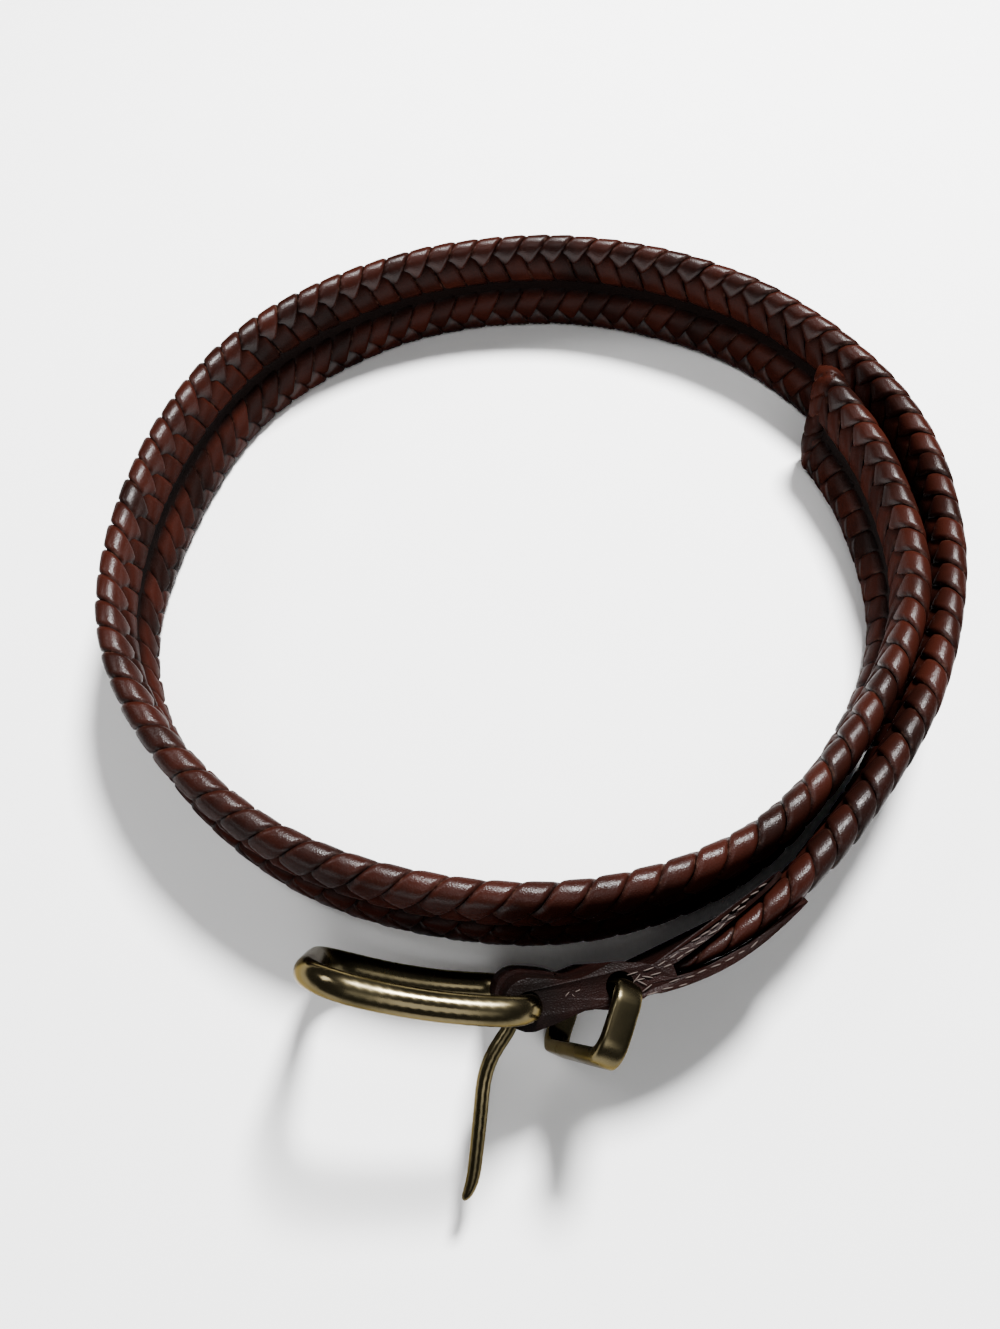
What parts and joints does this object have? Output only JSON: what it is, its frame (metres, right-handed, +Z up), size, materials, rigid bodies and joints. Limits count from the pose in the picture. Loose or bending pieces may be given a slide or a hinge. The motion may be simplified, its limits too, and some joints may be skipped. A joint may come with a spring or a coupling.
{
  "type": "braided belt",
  "caption": "Braided leather waist belt lying on its edge in a coil, with a plain leather end, brass ring buckle, swinging prong and rectangular brass keeper",
  "frame": {"origin": "middle of the bounding box in plan, on the floor the belt lies on", "axes": "+Z up, +Y from the buckle end towards the far side of the coil, +X from the buckle ring towards the strap at the buckle end"},
  "size_m": [0.213, 0.2594, 0.0453],
  "materials": {
    "braided_leather": "dark red-brown, waxed, worn at the edges of the strands",
    "plain_leather": "dark brown, smooth with fine creases",
    "ring_brass": "antique, polished over a dark patina",
    "prong_brass": "antique, dark grey-olive",
    "keeper_brass": "antique, polished over a dark patina"
  },
  "bodies": {
    "belt": {"strap": "braided_leather", "chape": "plain_leather"},
    "ring": {"buckle_frame": "ring_brass"},
    "tongue": {"prong": "prong_brass"},
    "loop": {"keeper": "keeper_brass"}
  },
  "joints": [
    {"name": "ring_swing", "type": "hinge", "parent": "belt", "child": "ring", "pos_m": [-0.00564, -0.09536, 0.0189], "axis": [0.1177, -0.3001, 0.9466], "range_deg": [-8, 30]},
    {"name": "prong_swing", "type": "hinge", "parent": "ring", "child": "tongue", "pos_m": [-0.00564, -0.09536, 0.0189], "axis": [0.1177, -0.3001, 0.9466], "range_deg": [-75, 10]},
    {"name": "keeper_swing", "type": "hinge", "parent": "belt", "child": "loop", "pos_m": [0.00982, -0.09324, 0.01792], "axis": [0.2154, -0.1873, 0.9584], "range_deg": [-10, 60]}
  ]
}
